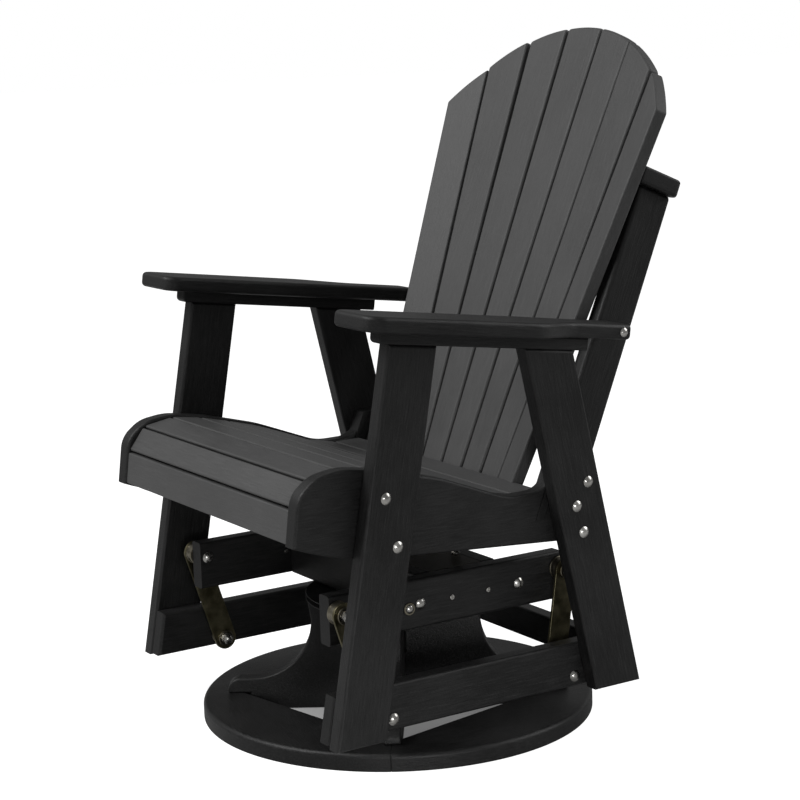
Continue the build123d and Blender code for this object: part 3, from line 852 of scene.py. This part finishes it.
def deckFastener(size):  # stands on the deck: a threaded stud or its nut
    place = size["middle"].copy()
    place.z = size["low"].z
    if size["span"] > boltSizes["nutSpan"]:
        return "deck_stud", threadedStud(size["radius"], size["span"]), 1, place
    return "deck_nut", deckNut(size["radius"], size["span"]), 1, place


def pivotNut(size):
    place = size["middle"].copy()
    sign = 1 if size["high"].x - size["wideHigh"] > size["wideLow"] - size["low"].x else -1
    place.x = size["low"].x if sign > 0 else size["high"].x
    return "pivot_nut", cappedNut(size["radius"], size["span"]), sign, place


def headedFastener(size):  # a bolt with a domed head, or a screw, along X
    place = size["middle"].copy()
    headHigh = size["high"].x - size["wideHigh"]
    headLow = size["wideLow"] - size["low"].x
    sign = 1 if headHigh < headLow else -1
    rise = min(headHigh, headLow)
    place.x = size["wideHigh"] if sign > 0 else size["wideLow"]
    length = size["span"] - rise
    if size["radius"] < boltSizes["screwRadius"]:
        screw = panScrew(boltSizes["screwShank"], length, size["radius"], rise)
        return "frame_screw", screw, sign, place
    shank = boltSizes["pivotShank" if rise > boltSizes["pivotRise"] else "shank"]
    return "carriage_bolt", carriageBolt(shank, length, size["radius"], rise), sign, place


def dressBolts(nodeName):
    for points in solidsOf(nodeName):
        size = measure(points)
        if size["axis"] == 2:
            make = deckFastener
        elif size["span"] < boltSizes["nutSpan"]:
            make = pivotNut
        else:
            make = headedFastener
        kind, piece, sign, place = make(size)
        stand(piece, size["axis"], sign, place)
        fasten(piece, kind, bodyOf(nodeName), nodeName)


for nodeName in ("chair_bolts", "swivel_bolts", "upper_pivot_bolts"):
    dressBolts(nodeName)
print("bolts and nuts made:", counts)


def dressBearings(nodeName, armName):
    body = bodyOf(nodeName)
    armLow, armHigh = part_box(armName)
    thickness = armHigh[0] - armLow[0]
    neckLength = thickness + bearingLook["beyond"]
    for points in solidsOf(nodeName):
        size = measure(points)
        middle, side = size["middle"], 1 if size["middle"].x > 0 else -1
        outward = abs(middle.x) > (abs(armLow[0]) + abs(armHigh[0])) / 2
        sign = side if outward else -side
        length = size["span"] - neckLength
        tip = size["high"].x if sign > 0 else size["low"].x
        piece = bearing(size["narrow"], size["radius"], length, neckLength)
        stand(piece, 0, sign, (tip - sign * length, middle.y, middle.z))
        fasten(piece, "arm_bearing", body, nodeName)
        collar = ring(collarLook["bore"], collarLook["radius"], collarLook["thickness"])
        reach = length + thickness + collarLook["thickness"]
        stand(collar, 0, sign, (tip - sign * reach, middle.y, middle.z))
        fasten(collar, "arm_collar", body, None)


dressBearings("front_bearings", "front_arm_left")
dressBearings("rear_bearings", "rear_arm_left")
print("bearings made")


# fasteners that the solids leave out

stopLook = {
    "forward": 0.022, "drop": 0.0045, "washer": 0.0105, "bore": 0.0041, "thickness": 0.0022,
    "head": 0.0074, "rise": 0.0040, "shank": 0.0040, "length": 0.022,
}


def fitStops():  # bolt and washer in front of the foremost frame bolt on each swivel rail
    look = stopLook
    bolts = [measure(points) for points in solidsOf("swivel_bolts")]
    across = [b for b in bolts if b["axis"] == 0 and b["radius"] > boltSizes["screwRadius"]]
    front = min(across, key=lambda b: b["middle"].y)["middle"]
    y, z = front.y - look["forward"], front.z - look["drop"]
    for side, nodeName in ((1, "swivel_rail_left"), (-1, "swivel_rail_right")):
        low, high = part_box(nodeName)
        face = high[0] if side > 0 else low[0]
        washer = ring(look["bore"], look["washer"], look["thickness"])
        stand(washer, 0, side, (face, y, z))
        fasten(washer, "stop_washer", "swivel", None)
        bolt = carriageBolt(look["shank"], look["length"], look["head"], look["rise"])
        stand(bolt, 0, side, (face + side * look["thickness"], y, z))
        fasten(bolt, "stop_bolt", "swivel")


slatScrews = {
    "rows": (0.28, 0.72), "count": 7, "shank": 0.0023, "length": 0.030, "head": 0.0044,
    "rise": 0.0017,
}


def screwBackSlats():  # through the lower back rail from behind, two to each slat
    look = slatScrews
    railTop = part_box("lower_back_rail")[1][2]
    rail = [Vector(v.co) for v in nodes["lower_back_rail"].data.vertices]
    behind = -backOut
    rear = max(point.dot(behind) for point in rail)
    runs = [point.dot(backUp) for point in rail]
    for index in range(look["count"]):
        slat = nodes["back_slat_" + str(index + 1)].data.vertices
        across = [v.co.x for v in slat if v.co.z < railTop]
        x = (min(across) + max(across)) / 2
        for share in look["rows"]:
            run = min(runs) + share * (max(runs) - min(runs))
            place = backUp * run + behind * rear
            piece = panScrew(look["shank"], look["length"], look["head"], look["rise"])
            piece.rotation_euler = behind.to_track_quat("Z", "Y").to_euler()
            piece.location = (x, place.y, place.z)
            settle(piece)
            fasten(piece, "back_screw", "chair")


supportScrews = {
    "shares": (0.14, 0.34, 0.54, 0.74, 0.92), "near": 0.05, "drop": 0.044,
    "shank": 0.0023, "length": 0.045, "head": 0.0044, "rise": 0.0017,
}


def screwSupports():  # through the seat supports from inside, a row below their upper edge
    look = supportScrews
    for side, nodeName in ((1, "seat_support_left"), (-1, "seat_support_right")):
        low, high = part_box(nodeName)
        inner = low[0] if side > 0 else high[0]
        support = nodes[nodeName].data.vertices
        for share in look["shares"]:
            y = low[1] + share * (high[1] - low[1])
            top = max(v.co.z for v in support if abs(v.co.y - y) < look["near"])
            piece = panScrew(look["shank"], look["length"], look["head"], look["rise"])
            stand(piece, 0, -side, (inner, y, top - look["drop"]))
            fasten(piece, "support_screw", "chair")


fitStops()
screwBackSlats()
screwSupports()
print("screws added:", counts)


# stage

stage = {
    "floorSize": 60.0, "floorTone": 0.40, "floorGlow": 0.96, "floorRough": 0.9,
    "patch": (0.8, 2.0, 0.5), "patchShare": 0.02, "bounceTone": 0.50,
    # shade and shadeGlow: the radii and the glow left inside them, a painted shade disc under the
    # base
    "shade": (0.27, 0.33), "shadeGlow": 0.12, "skyTone": 1.0, "roomTone": 0.235,
}
lights = {
    "key": {"place": (-1.2, -3.2, 4.0), "size": 2.8, "watts": 185.0, "spread": 180,
            "aim": (0, 0, 0.5)},
    "fill": {"place": (3.2, -1.3, 0.5), "size": 0.8, "watts": 1.2, "spread": 28,
             "aim": (0.35, 0, -0.1)},
    "rim": {"place": (1.6, 3.4, 2.6), "size": 2.4, "watts": 60.0, "spread": 180,
            "aim": (0, 0, 0.5)},
}
lens = {
    "place": (2.976, -1.868, 1.18335), "azimuth": 57.57, "elevation": 10.466,
    "roll": -1.787, "length": 95.37, "sensor": 36.0,
}


def makeFloor():  # white to the camera, with painted shade below the base, where its glow fades out
    bpy.ops.object.select_all(action="DESELECT")
    bpy.ops.mesh.primitive_plane_add(size=stage["floorSize"], location=(0, 0, 0))
    floor = bpy.context.object
    floor.name = "floor"
    material, shader = newShader("floor")
    seen = shader.node("LightPath", {}, {}, "Is Camera Ray")
    place = shader.objectPlace()
    patch = shader.noise(place, *stage["patch"]) * stage["patchShare"]
    paper = shader.mix(patch, grey(stage["floorTone"]), grey(1.0))
    reach = shader.vector("LENGTH", [place], "Value")
    # painted shade: the glow falls to shadeGlow inside the shade radii, darkening the floor under
    # the base
    clear = shader.ramp(reach, *stage["shade"], stage["shadeGlow"])
    shader.set(
        BaseColor=shader.mix(seen, grey(stage["bounceTone"]), paper),
        Roughness=stage["floorRough"], SpecularIORLevel=0.0, EmissionStrength=1.0,
        EmissionColor=shader.mix(seen * clear, grey(0.0), grey(stage["floorGlow"])))
    floor.data.materials.append(material)


def makeSky():
    world = bpy.data.worlds.new("studio")
    bpy.context.scene.world = world
    world.use_nodes = True
    shader = Shader(world.node_tree)
    background = next(n for n in world.node_tree.nodes if n.type == "BACKGROUND")
    seen = shader.node("LightPath", {}, {}, "Is Camera Ray")
    tone = shader.mix(seen, grey(stage["roomTone"]), grey(stage["skyTone"]))
    shader.feed(background.inputs["Color"], tone)


def makeLight(name, place, size, watts, spread, aim):
    bpy.ops.object.light_add(type="AREA", location=place)
    lamp = bpy.context.object
    lamp.name = name
    lamp.data.size = size
    lamp.data.energy = watts
    lamp.data.spread = radians(spread)
    way = Vector(aim) - Vector(place)
    lamp.rotation_euler = way.to_track_quat("-Z", "Y").to_euler()


def makeCamera():
    a, e, r = (radians(lens[key]) for key in ("azimuth", "elevation", "roll"))
    back = Vector((sin(a) * cos(e), -cos(a) * cos(e), sin(e)))
    right = Vector((cos(a), sin(a), 0))
    up = back.cross(right)
    side = right * cos(r) + up * sin(r)
    head = up * cos(r) - right * sin(r)
    turn = Matrix((side, head, back)).transposed().to_4x4()
    data = bpy.data.cameras.new("camera")
    data.lens = lens["length"]
    data.sensor_width = lens["sensor"]
    camera = bpy.data.objects.new("camera", data)
    bpy.context.scene.collection.objects.link(camera)
    camera.matrix_world = Matrix.Translation(lens["place"]) @ turn
    bpy.context.scene.camera = camera


makeFloor()
makeSky()
for name, look in lights.items():
    makeLight(name, **look)
makeCamera()
bpy.context.scene.view_settings.view_transform = "Standard"
print("stage set")
